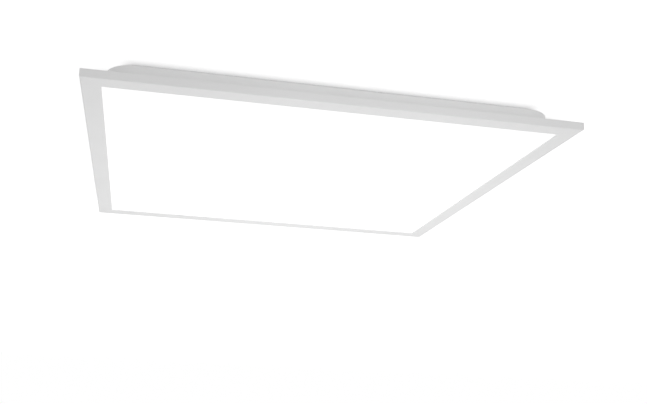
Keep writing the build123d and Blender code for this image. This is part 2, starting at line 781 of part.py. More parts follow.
# ---------------------------------------------------------------- write the nodes
live_y, neutral_y, earth_y = pole_rows()[:3]
nodes = {
    "ceiling_bracket": ceiling_bracket(),
    "weld_nuts": weld_nuts(),
    "side_screws": side_screws(),
    "cable_grommet": cable_grommet(),
    "frame_near": frame_side(0),
    "frame_right": frame_side(90),
    "frame_far": frame_side(180),
    "frame_left": frame_side(270),
    "corner_keys": corner_keys(),
    "corner_screws": corner_screws(),
    "diffuser": diffuser(),
    "light_guide": light_guide(),
    "light_guide_bumpers": light_guide_bumpers(),
    "reflector_sheet": reflector_sheet(),
    "foam_pad": foam_pad(),
    "led_boards": led_boards(),
    "led_packages": led_packages(),
    "back_plate": back_plate(),
    "back_plate_screws": back_plate_screws(),
    "lead_grommets": lead_grommets(),
    "earth_stud": earth_stud(),
    "earth_nut": earth_nut(),
    "rear_housing": rear_housing(),
    "housing_screws": housing_screws(),
    "driver_base": driver_base(),
    "driver_cover": driver_cover(),
    "driver_board": driver_board(),
    "driver_capacitors": driver_capacitors(),
    "driver_transformer": driver_transformer(),
    "driver_screws": driver_screws(),
    "wiring_cover": wiring_cover(),
    "cover_pin": cover_pin(),
    "terminal_block": terminal_block(),
    "release_button_live": release_button(live_y),
    "release_button_neutral": release_button(neutral_y),
    "release_button_earth": release_button(earth_y),
}

os.makedirs("parts", exist_ok=True)
for name, shape in nodes.items():
    export_step(shape, f"parts/{name}.step")
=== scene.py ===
import math

import bmesh
import bpy
import numpy as np
from mathutils import Matrix, Vector
from mathutils.geometry import tessellate_polygon


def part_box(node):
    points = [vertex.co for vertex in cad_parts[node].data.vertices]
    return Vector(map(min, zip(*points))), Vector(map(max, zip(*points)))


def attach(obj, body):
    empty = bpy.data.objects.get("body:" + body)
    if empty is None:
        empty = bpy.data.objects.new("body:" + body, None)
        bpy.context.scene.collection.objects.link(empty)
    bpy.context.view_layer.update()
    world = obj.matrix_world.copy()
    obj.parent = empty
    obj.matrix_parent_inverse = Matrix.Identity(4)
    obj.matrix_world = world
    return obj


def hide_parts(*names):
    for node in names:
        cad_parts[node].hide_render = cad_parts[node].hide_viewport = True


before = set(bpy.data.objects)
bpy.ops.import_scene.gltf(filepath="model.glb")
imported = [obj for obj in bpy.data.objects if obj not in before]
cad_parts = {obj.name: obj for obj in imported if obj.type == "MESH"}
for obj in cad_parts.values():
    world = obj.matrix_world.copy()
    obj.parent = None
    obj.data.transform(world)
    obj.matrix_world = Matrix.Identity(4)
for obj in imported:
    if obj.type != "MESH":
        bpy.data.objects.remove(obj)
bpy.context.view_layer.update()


# ---------------------------------------------------------------------------------------------
# Frame.  Four mitred lengths of one aluminium extrusion: a closed channel outside and a thin lip
# inside that carries the opal sheet.  Sawn at 45 degrees, keyed together at the corners, and
# powder coated white, which rounds every edge a little.

MM = 0.001
# points this near are one, and edges that bend by less than this angle are shaded smooth
SAME_POINT = 1e-7
SMOOTH_BELOW = math.radians(35)

LIP = 1.4 * MM
RIM_WALL = 1.4 * MM
WEB = 1.2 * MM
CHANNEL = 13.0 * MM
PLATE = 0.6 * MM
FRAME_EDGE = 1.8 * MM
LIP_EDGE = 0.5 * MM
DRAWN_EDGE = 0.3 * MM
COATED_EDGE = 0.12 * MM
MITRE_HAIRLINE = 0.02 * MM

COAT = "EFEFEF"
COAT_THICK = "EBEBEB"
ORANGE_PEEL = 1.1 * MM
COAT_CLOUD = 60 * MM
# a noise texture's values lie mostly between these two
NOISE_SPAN = {"From Min": 0.3, "From Max": 0.7}


def linear(hex_colour):
    """sRGB hex text as linear red, green, blue and alpha, by the sRGB curve."""
    srgb = np.array([int(hex_colour[i:i + 2], 16) for i in (0, 2, 4)]) / 255
    rgb = np.where(srgb <= 0.04045, srgb / 12.92, ((srgb + 0.055) / 1.055) ** 2.4)
    return (*rgb.tolist(), 1.0)


def add_node(tree, kind, inputs=None, **settings):
    """Adds one shader node.  Inputs are named, or counted among the live sockets, and are given a
    value, another socket, or another node, which stands for its first live output."""
    made = tree.nodes.new("ShaderNode" + kind)
    for name, value in settings.items():
        setattr(made, name, value)
    live = [socket for socket in made.inputs if socket.enabled]
    for name, value in (inputs or {}).items():
        socket = live[name] if isinstance(name, int) else next(s for s in live if s.name == name)
        if isinstance(value, bpy.types.Node):
            value = next(s for s in value.outputs if s.enabled)
        if isinstance(value, bpy.types.NodeSocket):
            tree.links.new(value, socket)
        else:
            socket.default_value = value
    return made


def new_finish(name):
    """A material with an empty node tree, that tree, and the place of a point in metres."""
    material = bpy.data.materials.new(name)
    material.use_nodes = True
    tree = material.node_tree
    tree.nodes.clear()
    return material, tree, add_node(tree, "TexCoord").outputs["Object"]


def powder_coat(name):
    """Polyester powder coat: it flows before it cures, which leaves an orange peel about a
    millimetre across and a satin sheen that is never quite even."""
    material, tree, place = new_finish(name)
    cloud = add_node(tree, "TexNoise", {"Vector": place, "Scale": 1 / COAT_CLOUD, "Detail": 3.0})
    colour = add_node(tree, "Mix", {"Factor": cloud, "A": linear(COAT), "B": linear(COAT_THICK)},
                      data_type="RGBA")
    sheen = add_node(tree, "MapRange", {"Value": cloud, **NOISE_SPAN,
                                        "To Min": 0.36, "To Max": 0.46})
    peel = add_node(tree, "TexNoise", {"Vector": place, "Scale": 1 / ORANGE_PEEL})
    bump = add_node(tree, "Bump", {"Height": peel, "Strength": 0.5, "Distance": 0.02 * MM})
    coat = add_node(tree, "BsdfPrincipled", {"Base Color": colour, "Roughness": sheen,
                                             "IOR": 1.5, "Normal": bump})
    add_node(tree, "OutputMaterial", {"Surface": coat})
    return material


def rounded_outline(corners, radii, arc_steps=8, hold=0.05 * MM):
    """Closed outline through the corners, each cut by an arc of its radius.

    An arc starts and ends radius / tan(half the corner's angle) from the corner, where its circle
    touches the two sides.  One more point stands on each side just past the arc, so that flat
    faces stay flat when the shading is smooth.
    """
    corners = np.asarray(corners, float)
    radii = np.asarray(radii, float)[:, None]
    back = np.roll(corners, 1, axis=0) - corners
    ahead = np.roll(corners, -1, axis=0) - corners
    back /= np.linalg.norm(back, axis=1, keepdims=True)
    ahead /= np.linalg.norm(ahead, axis=1, keepdims=True)
    half_angle = np.arccos((back * ahead).sum(1, keepdims=True)) / 2
    reach = radii / np.tan(half_angle)
    bisector = (back + ahead) / np.linalg.norm(back + ahead, axis=1, keepdims=True)
    middle = corners + bisector * radii / np.sin(half_angle)
    first = corners + back * reach - middle
    last = corners + ahead * reach - middle
    sweep = (math.pi - 2 * half_angle)[:, None]
    share = np.linspace(0, 1, arc_steps + 1)[None, :, None]
    arcs = (np.sin((1 - share) * sweep) * first[:, None] + np.sin(share * sweep) * last[:, None])
    arcs = middle[:, None] + arcs / np.sin(sweep)
    before = (corners + back * (reach + hold))[:, None]
    after = (corners + ahead * (reach + hold))[:, None]
    return np.concatenate([before, arcs, after], axis=1).reshape(-1, 2)


def grid_quads(rows, columns, wrap_rows=False, wrap_columns=False):
    """Vertex numbers of the quads of a grid of rows x columns points, counted along the rows."""
    row = np.arange(rows if wrap_rows else rows - 1)[:, None]
    column = np.arange(columns if wrap_columns else columns - 1)[None, :]
    below = (row + 1) % rows
    beside = (column + 1) % columns
    corners = np.broadcast_arrays(row * columns + column, below * columns + column,
                                  below * columns + beside, row * columns + beside)
    return np.stack(corners, -1).reshape(-1, 4)


def make_piece(name, vertices, faces, material):
    """A closed mesh object of these vertices and faces: its poles are merged, its faces turned
    outwards, and its shading smooth across all but its sharp edges."""
    mesh = bpy.data.meshes.new(name)
    mesh.from_pydata(np.asarray(vertices, float).reshape(-1, 3).tolist(), [], faces)
    shell = bmesh.new()
    shell.from_mesh(mesh)
    bmesh.ops.remove_doubles(shell, verts=shell.verts, dist=SAME_POINT)
    bmesh.ops.recalc_face_normals(shell, faces=shell.faces)
    shell.to_mesh(mesh)
    shell.free()
    mesh.shade_smooth()
    mesh.set_sharp_from_angle(angle=SMOOTH_BELOW)
    mesh.materials.append(material)
    made = bpy.data.objects.new(name, mesh)
    bpy.context.scene.collection.objects.link(made)
    return made


def fit(piece, body, node_name):
    """Puts a piece on its body in place of a CAD node, which it hides."""
    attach(piece, body)
    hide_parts(node_name)


def dress(material, *node_names):
    """Gives CAD nodes a finish in place of their plain one."""
    for node_name in node_names:
        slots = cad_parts[node_name].data.materials
        for i in range(len(slots)):
            slots[i] = material


near_low, near_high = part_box("frame_near")
half = near_high.x
frame_bottom = near_low.z
plate_top = near_high.z
frame_height = plate_top - frame_bottom
ledge_top = frame_height - PLATE
bezel = near_high.y - near_low.y
extrusion = rounded_outline(
    [(0, 0), (bezel, 0), (bezel, LIP), (CHANNEL, LIP), (CHANNEL, ledge_top),
     (RIM_WALL, ledge_top), (RIM_WALL, frame_height), (0, frame_height)],
    [FRAME_EDGE, LIP_EDGE, COATED_EDGE, COATED_EDGE, COATED_EDGE,
     COATED_EDGE, 2 * COATED_EDGE, 3 * COATED_EDGE],
)
hollow = rounded_outline(
    [(RIM_WALL, LIP), (CHANNEL - WEB, LIP),
     (CHANNEL - WEB, ledge_top - WEB), (RIM_WALL, ledge_top - WEB)],
    [DRAWN_EDGE] * 4, arc_steps=4,
)


def frame_length(name, turn_degrees, coat):
    """One mitred length.  A point of the section that lies u in from the outer edge reaches
    half - u either side of the middle, which cuts both ends at 45 degrees.  Then the bar is turned
    about Z."""
    section = np.concatenate([extrusion, hollow])
    across, up = section.T
    reach = half - across - MITRE_HAIRLINE
    ends = [np.stack([side * reach, across - half, frame_bottom + up], -1) for side in (1, -1)]
    turn = np.array(Matrix.Rotation(math.radians(turn_degrees), 3, "Z"))
    outside = grid_quads(2, len(extrusion), wrap_columns=True)
    outside[:, 1:3] += len(hollow)
    inside = grid_quads(2, len(hollow), wrap_columns=True) + len(extrusion)
    inside[:, 1:3] += len(extrusion)
    loops = [[Vector((*point, 0)) for point in loop] for loop in (extrusion, hollow)]
    cut = np.array(tessellate_polygon(loops))
    faces = [*outside.tolist(), *inside.tolist(), *cut.tolist(), *(cut + len(section)).tolist()]
    return make_piece(name, np.concatenate(ends) @ turn.T, faces, coat)


frame_coat = powder_coat("powder_coat_on_aluminium")
for side, turn in (("near", 0), ("right", 90), ("far", 180), ("left", 270)):
    fit(frame_length(f"frame_length_{side}", turn, frame_coat),
        "luminaire", f"frame_{side}")


# ---------------------------------------------------------------------------------------------
# Corner keys.  L-shaped aluminium keys, cut from a drawn bar, that slide into the channels at each
# mitre.  Bare metal: the drawing die leaves fine lines, which smear its shine along the bar.

DIE_LINES = 0.25 * MM
# a line is this many times as long as the lines are apart
LINE_STRETCH = 20
HANDLING_STAIN = 8 * MM

drawn_aluminium, tree, place = new_finish("drawn_aluminium")
stretched = add_node(tree, "Mapping", {"Vector": place, "Scale": (1.0, 1.0, LINE_STRETCH)})
lines = add_node(tree, "TexNoise", {"Vector": stretched, "Scale": 1 / (LINE_STRETCH * DIE_LINES),
                                    "Detail": 1.0})
stain = add_node(tree, "TexNoise", {"Vector": place, "Scale": 1 / HANDLING_STAIN})
colour = add_node(tree, "Mix", {"Factor": stain, "A": linear("C8C9CB"), "B": linear("B9BABD")},
                  data_type="RGBA")
shine = add_node(tree, "MapRange", {"Value": lines, **NOISE_SPAN, "To Min": 0.28, "To Max": 0.42})
bump = add_node(tree, "Bump", {"Height": lines, "Distance": 0.01 * MM})
metal = add_node(tree, "BsdfPrincipled", {"Base Color": colour, "Metallic": 1.0, "Roughness": shine,
                                          "Normal": bump})
add_node(tree, "OutputMaterial", {"Surface": metal})
dress(drawn_aluminium, "corner_keys")


# ---------------------------------------------------------------------------------------------
# Opal sheet.  Extruded acrylic with a fine matt skin, lit from behind over its whole area, a touch
# less in the middle, where the light has come the longest way through the guide.  It lets half of
# all light through, so it sends back only the other half of the room's.

OPAL_GLOW = 0.66
OPAL_FADE = 0.02
MILK_CLOUD = 90 * MM
SKIN_GRAIN = 0.5 * MM

opal, tree, place = new_finish("lit_opal_acrylic")
along = add_node(tree, "SeparateXYZ", {"Vector": place})
from_middle = add_node(tree, "Math", {0: along, 1: 1 / half}, operation="MULTIPLY")
squared = add_node(tree, "Math", {0: from_middle, 1: 2.0}, operation="POWER")
glow = add_node(tree, "MapRange", {"Value": squared, "From Max": 1.0,
                                   "To Min": OPAL_GLOW - OPAL_FADE, "To Max": OPAL_GLOW})
milk = add_node(tree, "TexNoise", {"Vector": place, "Scale": 1 / MILK_CLOUD})
colour = add_node(tree, "Mix", {"Factor": milk, "A": linear("BEBEBE"), "B": linear("BABABA")},
                  data_type="RGBA")
skin = add_node(tree, "TexNoise", {"Vector": place, "Scale": 1 / SKIN_GRAIN, "Detail": 1.0})
bump = add_node(tree, "Bump", {"Height": skin, "Distance": 0.01 * MM})
acrylic = add_node(tree, "BsdfPrincipled", {
    "Base Color": colour, "Roughness": 0.5, "IOR": 1.49, "Normal": bump,
    "Emission Color": linear("FCFCFC"), "Emission Strength": glow,
})
add_node(tree, "OutputMaterial", {"Surface": acrylic})
dress(opal, "diffuser")


# ---------------------------------------------------------------------------------------------
# Light guide.  Clear cast acrylic, printed on its back with rows of white dots that let the light
# out.  The dots are drawn wider apart than real ones, to show at all.

DOT_PITCH = 2.5 * MM
# a dot's ink starts and is full at these shares of the pitch from its middle
DOT_START, DOT_FULL = 0.3, 0.26

printed_acrylic, tree, place = new_finish("printed_clear_acrylic")
cells = add_node(tree, "TexVoronoi", {"Vector": place, "Scale": 1 / DOT_PITCH, "Randomness": 0.0})
dots = add_node(tree, "MapRange", {"Value": cells, "From Min": DOT_START, "From Max": DOT_FULL})
colour = add_node(tree, "Mix", {"Factor": dots, "A": linear("F4F8F8"), "B": linear("FFFFFF")},
                  data_type="RGBA")
clear = add_node(tree, "MapRange", {"Value": dots, "To Min": 0.9, "To Max": 0.0})
matt = add_node(tree, "MapRange", {"Value": dots, "To Min": 0.05, "To Max": 0.6})
acrylic = add_node(tree, "BsdfPrincipled", {"Base Color": colour, "Transmission Weight": clear,
                                            "Roughness": matt, "IOR": 1.49})
add_node(tree, "OutputMaterial", {"Surface": acrylic})
dress(printed_acrylic, "light_guide")


# ---------------------------------------------------------------------------------------------
# Reflector.  White polyester film, filled with fine voids: matt, and faintly cloudy.  It lies on
# the back of the light guide and sends the light that strays there forward again.

FILM_CLOUD = 30 * MM
FILM_GRAIN = 0.4 * MM

film, tree, place = new_finish("white_polyester_film")
cloud = add_node(tree, "TexNoise", {"Vector": place, "Scale": 1 / FILM_CLOUD})
colour = add_node(tree, "Mix", {"Factor": cloud, "A": linear("F8F8F8"), "B": linear("F2F2F2")},
                  data_type="RGBA")
grain = add_node(tree, "TexNoise", {"Vector": place, "Scale": 1 / FILM_GRAIN})
matt = add_node(tree, "MapRange", {"Value": grain, **NOISE_SPAN, "To Min": 0.45, "To Max": 0.6})
sheet = add_node(tree, "BsdfPrincipled", {"Base Color": colour, "Roughness": matt, "IOR": 1.6})
add_node(tree, "OutputMaterial", {"Surface": sheet})
dress(film, "reflector_sheet")


# ---------------------------------------------------------------------------------------------
# Foam.  Closed-cell polyethylene foam that presses the sheets on to the lip: dull, and pitted
# wherever the knife has opened its cells.

FOAM_CELL = 0.6 * MM

foam, tree, place = new_finish("closed_cell_foam")
cells = add_node(tree, "TexVoronoi", {"Vector": place, "Scale": 1 / FOAM_CELL})
colour = add_node(tree, "Mix", {"Factor": cells, "A": linear("DEDDD6"), "B": linear("F0EFEA")},
                  data_type="RGBA")
bump = add_node(tree, "Bump", {"Height": cells, "Distance": 0.15 * MM})
pad = add_node(tree, "BsdfPrincipled", {"Base Color": colour, "Roughness": 0.9, "Normal": bump})
add_node(tree, "OutputMaterial", {"Surface": pad})
dress(foam, "foam_pad")


# ---------------------------------------------------------------------------------------------
# Light strips.  Long boards under white solder mask, whose copper tracks stand out as low ridges,
# with a row of packages filled with yellow phosphor gel, and rubber bumpers for the guide's edge.

TRACK_LENGTH = 12 * MM
TRACK_WIDTH = 2.2 * MM
TRACK_GAP = 0.15 * MM
PHOSPHOR_GRAIN = 0.3 * MM
RUBBER_BLOOM = 2 * MM
RUBBER_GRAIN = 0.2 * MM

white_mask, tree, place = new_finish("white_solder_mask")
tracks = add_node(tree, "TexBrick", {
    "Vector": place, "Scale": 1.0, "Color1": linear("F3F3EF"), "Color2": linear("EEEEEA"),
    "Mortar": linear("DFDFDA"), "Mortar Size": TRACK_GAP, "Brick Width": TRACK_LENGTH,
    "Row Height": TRACK_WIDTH,
})
bump = add_node(tree, "Bump", {"Height": tracks.outputs["Fac"], "Distance": 0.03 * MM}, invert=True)
mask = add_node(tree, "BsdfPrincipled", {"Base Color": tracks, "Roughness": 0.35, "Normal": bump})
add_node(tree, "OutputMaterial", {"Surface": mask})
dress(white_mask, "led_boards")

# phosphor in clear gel looks wet, with the grains showing through
phosphor, tree, place = new_finish("phosphor_gel")
grains = add_node(tree, "TexNoise", {"Vector": place, "Scale": 1 / PHOSPHOR_GRAIN})
colour = add_node(tree, "Mix", {"Factor": grains, "A": linear("E9C63E"), "B": linear("F2D766")},
                  data_type="RGBA")
gel = add_node(tree, "BsdfPrincipled", {"Base Color": colour, "Roughness": 0.2, "IOR": 1.41,
                                        "Coat Weight": 0.4})
add_node(tree, "OutputMaterial", {"Surface": gel})
dress(phosphor, "led_packages")

# moulded silicone is soft and matt, and its bloom greys it in patches
silicone, tree, place = new_finish("white_silicone_rubber")
bloom = add_node(tree, "TexNoise", {"Vector": place, "Scale": 1 / RUBBER_BLOOM})
colour = add_node(tree, "Mix", {"Factor": bloom, "A": linear("DCDCDA"), "B": linear("D2D2D0")},
                  data_type="RGBA")
grain = add_node(tree, "TexNoise", {"Vector": place, "Scale": 1 / RUBBER_GRAIN})
bump = add_node(tree, "Bump", {"Height": grain, "Distance": 0.01 * MM})
rubber = add_node(tree, "BsdfPrincipled", {"Base Color": colour, "Roughness": 0.75, "IOR": 1.41,
                                           "Normal": bump})
add_node(tree, "OutputMaterial", {"Surface": rubber})
dress(silicone, "light_guide_bumpers")


# ---------------------------------------------------------------------------------------------
# Back plate.  Deep-drawing steel sheet pressed with four long beads and powder coated, laid on the
# frame's ledge over the foam.

steel_coat = powder_coat("powder_coat_on_steel")
dress(steel_coat, "back_plate")


# ---------------------------------------------------------------------------------------------
# Lead grommets.  Moulded black rubber snapped into its hole: two flanges, a waist in the sheet, and
# a rounded bore.  The mould is sand blasted, and talc from packing leaves the rubber dusty.

LEAD_FLANGE, LEAD_WAIST, LEAD_BORE = 6.0 * MM, 3.95 * MM, 2.2 * MM
GROMMET_STEPS = 64
# roundings, as shares of a flange's thickness
FLANGE_EDGE, FLANGE_FOOT, WAIST_ROOT = 0.45, 0.135, 0.045
TALC_DUST = 3 * MM
BLASTED_GRAIN = 0.25 * MM

black_rubber, tree, place = new_finish("moulded_black_rubber")
dust = add_node(tree, "TexNoise", {"Vector": place, "Scale": 1 / TALC_DUST, "Detail": 4.0})
colour = add_node(tree, "Mix", {"Factor": dust, "A": linear("222222"), "B": linear("303030")},
                  data_type="RGBA")
matt = add_node(tree, "MapRange", {"Value": dust, **NOISE_SPAN, "To Min": 0.55, "To Max": 0.75})
grain = add_node(tree, "TexNoise", {"Vector": place, "Scale": 1 / BLASTED_GRAIN})
bump = add_node(tree, "Bump", {"Height": grain, "Distance": 0.01 * MM})
rubber = add_node(tree, "BsdfPrincipled", {"Base Color": colour, "Roughness": matt, "IOR": 1.52,
                                           "Normal": bump})
add_node(tree, "OutputMaterial", {"Surface": rubber})


def grommet(name, node_name, body, middles, bore, waist, flange, waist_low, waist_high):
    """Grommets at these middles: a closed outline of radius and height turned about Z, so x is
    r cos t and y is r sin t.  The waist fills the sheet's hole between the two flanges."""
    low, high = (corner.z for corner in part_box(node_name))
    edge, foot, root = (share * (high - waist_high)
                        for share in (FLANGE_EDGE, FLANGE_FOOT, WAIST_ROOT))
    outline = rounded_outline(
        [(bore, low), (flange, low), (flange, waist_low), (waist, waist_low),
         (waist, waist_high), (flange, waist_high), (flange, high), (bore, high)],
        [edge, edge, foot, root, root, foot, edge, edge],
    )
    turn = np.linspace(0, 2 * math.pi, GROMMET_STEPS, endpoint=False)[:, None]
    reach, height = outline.T
    ring = np.stack([reach * np.cos(turn), reach * np.sin(turn), height + 0 * turn], -1)
    ring = ring.reshape(-1, 3)
    quads = grid_quads(len(turn), len(outline), wrap_rows=True, wrap_columns=True)
    moved = np.concatenate([ring + (x, y, 0) for x, y in middles])
    faces = np.concatenate([quads + i * len(ring) for i in range(len(middles))])
    fit(make_piece(name, moved, faces.tolist(), black_rubber), body, node_name)


low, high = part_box("lead_grommets")
row = (low.y + high.y) / 2
grommet("lead_grommet_pair", "lead_grommets", "luminaire",
        [(low.x + LEAD_FLANGE, row), (high.x - LEAD_FLANGE, row)],
        LEAD_BORE, LEAD_WAIST, LEAD_FLANGE, plate_top - PLATE, plate_top)


# ---------------------------------------------------------------------------------------------
# Rear housing.  A pressed steel wall with round corners, a foot flange screwed to the back plate,
# and a narrow rim turned in at the ceiling, notched for the bracket.  Slots that are open at the
# rim drop over the side screws.

WALL_CORNER = 33.0 * MM
WALL = 0.8 * MM
WALL_BEND = 1.6 * MM
FOOT = 12.0 * MM
RIM = 5.0 * MM
CORNER_STEPS = 24
NOTCH_HALF = 20.0 * MM
SLOT_HALF = 2.3 * MM
SLOT_STEPS = 16
SIDE_SCREW_HEAD = 3.8 * MM

wall_low, wall_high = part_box("rear_housing")
wall_section = rounded_outline(
    [(0, wall_low.z), (0, wall_high.z),
     (WALL + RIM, wall_high.z), (WALL + RIM, wall_high.z - WALL),
     (WALL, wall_high.z - WALL), (WALL, wall_low.z + WALL),
     (WALL + FOOT, wall_low.z + WALL), (WALL + FOOT, wall_low.z)],
    [COATED_EDGE, WALL_BEND, COATED_EDGE, COATED_EDGE, WALL_BEND - WALL, WALL_BEND - WALL,
     COATED_EDGE, COATED_EDGE],
)


def round_square_ring(outline, half_side, corner_radius):
    """A section carried round a square with round corners.  On a corner's arc, a point that lies d
    in from the outside is corner_radius - d from the arc's middle.  The sides run straight between
    the arcs."""
    quarter = np.linspace(0, math.pi / 2, CORNER_STEPS + 1)
    angles = np.concatenate([quarter + turn * math.pi / 2 for turn in range(4)])[:, None]
    signs = np.repeat([(1, 1), (-1, 1), (-1, -1), (1, -1)], CORNER_STEPS + 1, axis=0)
    middles = signs * (half_side - corner_radius)
    inset, height = outline.T
    reach = corner_radius - inset
    points = np.stack([middles[:, :1] + reach * np.cos(angles),
                       middles[:, 1:] + reach * np.sin(angles), height + 0 * angles], -1)
    quads = grid_quads(len(angles), len(inset), wrap_rows=True, wrap_columns=True)
    return points.reshape(-1, 3), quads


def punch_out(piece, outline, axis, low, high):
    """Takes a shape out of a piece, as a press tool does: an outline in the plane square to an
    axis, stretched between two places along it."""
    count = len(outline)
    ends = [np.insert(np.asarray(outline, float), axis, at, axis=1) for at in (low, high)]
    sides = grid_quads(2, count, wrap_columns=True).tolist()
    faces = [*sides, tuple(range(count)), tuple(range(count, 2 * count))]
    tool = make_piece("press_tool", np.concatenate(ends), faces, piece.data.materials[0])
    cut = piece.modifiers.new("cut", "BOOLEAN")
    cut.object, cut.operation, cut.solver = tool, "DIFFERENCE", "EXACT"
    bpy.context.view_layer.update()
    evaluated = piece.evaluated_get(bpy.context.evaluated_depsgraph_get())
    after = bpy.data.meshes.new_from_object(evaluated)
    piece.modifiers.clear()
    piece.data = after
    bpy.data.objects.remove(tool)


low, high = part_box("side_screws")
screw_drop = (low.z + high.z) / 2
screw_row = high.y - SIDE_SCREW_HEAD
ring, ring_faces = round_square_ring(wall_section, wall_high.x, WALL_CORNER)
housing = make_piece("rear_housing_wall", ring, ring_faces.tolist(), steel_coat)
above = 1 * MM
arc = np.linspace(math.pi, 2 * math.pi, SLOT_STEPS + 1)
for y in (-screw_row, screw_row):
    slot = [(y + SLOT_HALF * math.cos(a), screw_drop + SLOT_HALF * math.sin(a)) for a in arc]
    slot += [(y + SLOT_HALF, above), (y - SLOT_HALF, above)]
    notch = [(y - NOTCH_HALF, -WALL_BEND), (y + NOTCH_HALF, -WALL_BEND),
             (y + NOTCH_HALF, above), (y - NOTCH_HALF, above)]
    for side in (-1, 1):
        wall = side * wall_high.x
        punch_out(housing, slot, 0, wall - side * 3 * WALL, wall + side * WALL)
        punch_out(housing, notch, 0, wall - side * WALL, wall - side * 3 * RIM)
housing.data.set_sharp_from_angle(angle=SMOOTH_BELOW)
fit(housing, "luminaire", "rear_housing")


# ---------------------------------------------------------------------------------------------
# Screws and nuts.  Cold-formed steel with a rolled thread, plated with bright zinc, which gives
# them a faintly blue, slightly cloudy shine.  The head is struck with a cross recess.

THREAD_PITCH = 0.9 * MM
THREAD_DEPTH = 0.12 * MM
STEPS_PER_PITCH = 6
FEWEST_STEPS = 8
ROUND_STEPS = 32
HEAD_RINGS = 14
# the head's rings stand closer together towards its rim, by this power
RING_CROWDING = 0.8
# shares of the head's height
DOME_FALL, CROSS_DEPTH = 0.45, 0.5
# shares of the head's radius
CROSS_HALF, CROSS_REACH, CROSS_SLOPE = 0.16, 0.55, 0.08
# radius and height of the head, and radius of the shank
SHEET_SCREW = (2.8 * MM, 1.8 * MM, 1.4 * MM)
PLATE_SCREW_SPACING = 200 * MM
HOUSING_SCREW_SPACING = 300 * MM
ZINC_CLOUD = 1.5 * MM
ZINC_PITS = 0.3 * MM

zinc_plate, tree, place = new_finish("bright_zinc_plate")
cloud = add_node(tree, "TexNoise", {"Vector": place, "Scale": 1 / ZINC_CLOUD, "Detail": 3.0})
colour = add_node(tree, "Mix", {"Factor": cloud, "A": linear("D3D8DF"), "B": linear("BFC4CC")},
                  data_type="RGBA")
shine = add_node(tree, "MapRange", {"Value": cloud, **NOISE_SPAN, "To Min": 0.2, "To Max": 0.38})
pits = add_node(tree, "TexNoise", {"Vector": place, "Scale": 1 / ZINC_PITS})
bump = add_node(tree, "Bump", {"Height": pits, "Distance": 0.004 * MM})
metal = add_node(tree, "BsdfPrincipled", {"Base Color": colour, "Metallic": 1.0, "Roughness": shine,
                                          "Normal": bump})
add_node(tree, "OutputMaterial", {"Surface": metal})
dress(zinc_plate, "corner_screws", "earth_stud", "earth_nut", "cover_pin", "weld_nuts")


def pan_screw(head_radius, head_height, shank_radius, length):
    """Vertices and quads of a screw on Z, its bearing face at z = 0.

    Rings of points are joined in one sheet from the middle of the head to the tip.  The head is an
    oval dome, height * (1 - fall * (r / head radius)^4), sunk by a cross, whose depth falls to
    zero over a slope where either bar ends.  The thread is a ridge whose height follows the turn
    angle plus the way along divided by the pitch, as a helix does, and it tapers into the point.
    """
    turn = np.linspace(0, 2 * math.pi, ROUND_STEPS, endpoint=False)
    share = np.linspace(0, 1, HEAD_RINGS)[:, None] ** RING_CROWDING * np.ones_like(turn)
    x, y = share * np.cos(turn), share * np.sin(turn)
    bars = [np.clip((CROSS_HALF - abs(a)) / CROSS_SLOPE + 1, 0, 1)
            * np.clip((CROSS_REACH - abs(b)) / CROSS_SLOPE, 0, 1) for a, b in ((x, y), (y, x))]
    dome = 1 - DOME_FALL * share ** 4 - CROSS_DEPTH * np.maximum(*bars)
    head = np.stack([head_radius * x, head_radius * y, head_height * dome], -1)
    steps = max(int(length / THREAD_PITCH * STEPS_PER_PITCH), FEWEST_STEPS)
    way = np.linspace(0, 1, steps)[:, None]
    ridge = abs((way * length / THREAD_PITCH + turn / (2 * math.pi)) % 1 - 0.5) * 2
    reach = (shank_radius - THREAD_DEPTH * ridge) * np.clip((1 - way) * length / shank_radius, 0, 1)
    shank = np.stack([reach * np.cos(turn), reach * np.sin(turn), -way * length + 0 * turn], -1)
    foot = np.stack([head_radius * np.cos(turn), head_radius * np.sin(turn), 0 * turn], -1)[None]
    rings = np.concatenate([head, foot, shank])
    return rings.reshape(-1, 3), grid_quads(len(rings), ROUND_STEPS, wrap_columns=True)


def screw_group(name, node_name, body, places, turns, size, length):
    """Like screws in one mesh, each turned and then moved to its place.  The size is the head's
    radius and height and the shank's radius."""
    vertices, quads = pan_screw(*size, length)
    turned = np.concatenate([vertices @ np.array(turn).T + place
                             for place, turn in zip(places, turns)])
    faces = np.concatenate([quads + i * len(vertices) for i in range(len(places))])
    fit(make_piece(name, turned, faces.tolist(), zinc_plate), body, node_name)


def along_sides(distance, spacing, count, height):
    """Places in a row along each of the four sides, at one distance from the middle."""
    row = (np.arange(count) - (count - 1) / 2) * spacing
    near = np.stack([row, np.full(count, -distance), np.full(count, height)], -1)
    return np.concatenate([near @ np.array(Matrix.Rotation(math.radians(t), 3, "Z")).T
                           for t in (0, 90, 180, 270)])


def stopped_turns(count, seed):
    """Each screw stops at a turn of its own about its axis."""
    angles = np.random.default_rng(seed).uniform(0, 2 * math.pi, count)
    return [Matrix.Rotation(a, 3, "Z") for a in angles]


low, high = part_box("back_plate_screws")
places = along_sides(high.x - SHEET_SCREW[0], PLATE_SCREW_SPACING, 3, plate_top)
screw_group("back_plate_screw_set", "back_plate_screws", "luminaire", places,
            stopped_turns(len(places), 1), SHEET_SCREW, plate_top - low.z)
low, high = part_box("housing_screws")
seat = high.z - SHEET_SCREW[1]
places = along_sides(high.x - SHEET_SCREW[0], HOUSING_SCREW_SPACING, 2, seat)
screw_group("housing_screw_set", "housing_screws", "luminaire", places,
            stopped_turns(len(places), 2), SHEET_SCREW, seat - low.z)


# ---------------------------------------------------------------------------------------------
# Driver.  A moulded tray, cap and wiring cover in white polycarbonate with a spark-eroded texture,
# screwed down through two ears, over a board that carries sleeved capacitors and a transformer.

